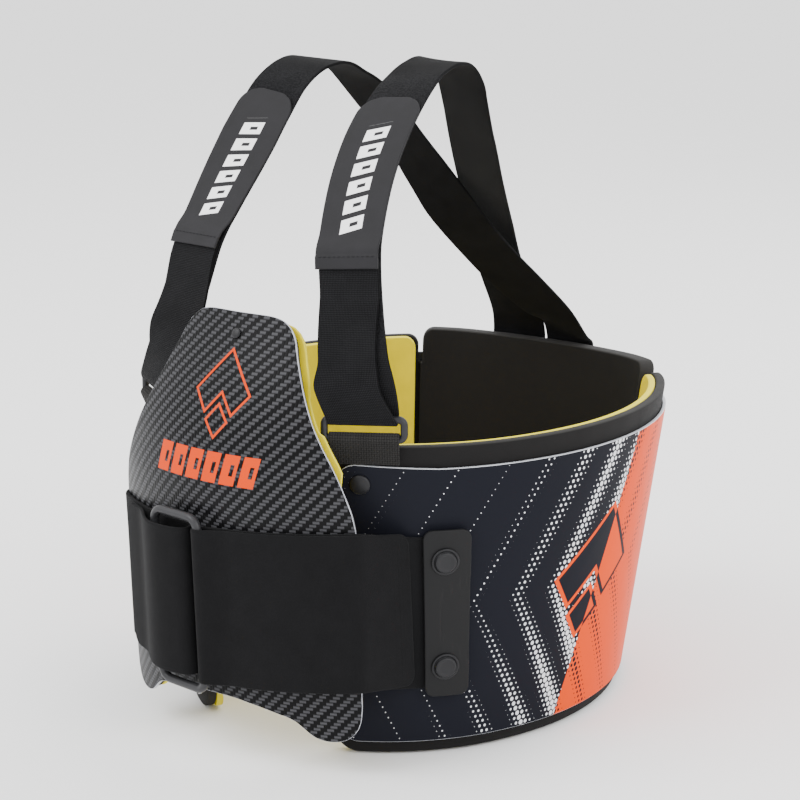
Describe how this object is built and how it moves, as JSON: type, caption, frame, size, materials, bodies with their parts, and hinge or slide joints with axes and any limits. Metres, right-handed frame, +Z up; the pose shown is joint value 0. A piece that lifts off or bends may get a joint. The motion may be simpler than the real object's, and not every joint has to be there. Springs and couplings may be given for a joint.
{
  "type": "kart rib protector, worn form",
  "caption": "Torso guard with a rigid outer shell over foam, a front plate, a band closure and crossed shoulder straps.",
  "frame": {"origin": "the seat on the wearer's shoulders, midway between the two straps where they crest", "axes": "-Y is the front with the plate, +X is the wearer's left, +Z is up"},
  "size_m": [0.3126, 0.3769, 0.4102],
  "materials": {
    "foam_black": "matte closed-cell foam",
    "foam_yellow": "matte closed-cell foam, yellow",
    "shell_print": "satin printed plastic, near-black and orange",
    "carbon_plate": "glossy carbon twill look",
    "plate_plastic": "matte black",
    "rivet_metal": "satin black",
    "ring_black": "satin black",
    "ring_grey": "glossy dark grey",
    "band_fabric": "black brushed loop cloth",
    "strap_fabric": "black brushed loop cloth",
    "label_fabric": "smooth black tab with a white print",
    "webbing": "black woven webbing"
  },
  "bodies": {
    "root": {"foam_wrap": "foam_black", "liner_left": "foam_yellow", "liner_right": "foam_yellow", "outer_shell": "shell_print", "front_panel": "carbon_plate", "front_pad": "foam_black", "front_pad_liner": "foam_yellow", "panel_rivet": "rivet_metal", "rivet_plate_left": "plate_plastic", "plate_rivet_upper_left": "rivet_metal", "plate_rivet_lower_left": "rivet_metal", "dome_rivet_left": "rivet_metal", "strap_ring_left": "ring_black", "ring_loop_left": "webbing", "closure_band_left": "band_fabric", "strap_left": "strap_fabric", "strap_label_left": "label_fabric", "rivet_plate_right": "plate_plastic", "plate_rivet_upper_right": "rivet_metal", "plate_rivet_lower_right": "rivet_metal", "dome_rivet_right": "rivet_metal", "strap_ring_right": "ring_black", "ring_loop_right": "webbing", "closure_band_right": "band_fabric", "strap_right": "strap_fabric", "strap_label_right": "label_fabric", "band_ring": "ring_grey"}
  },
  "joints": []
}
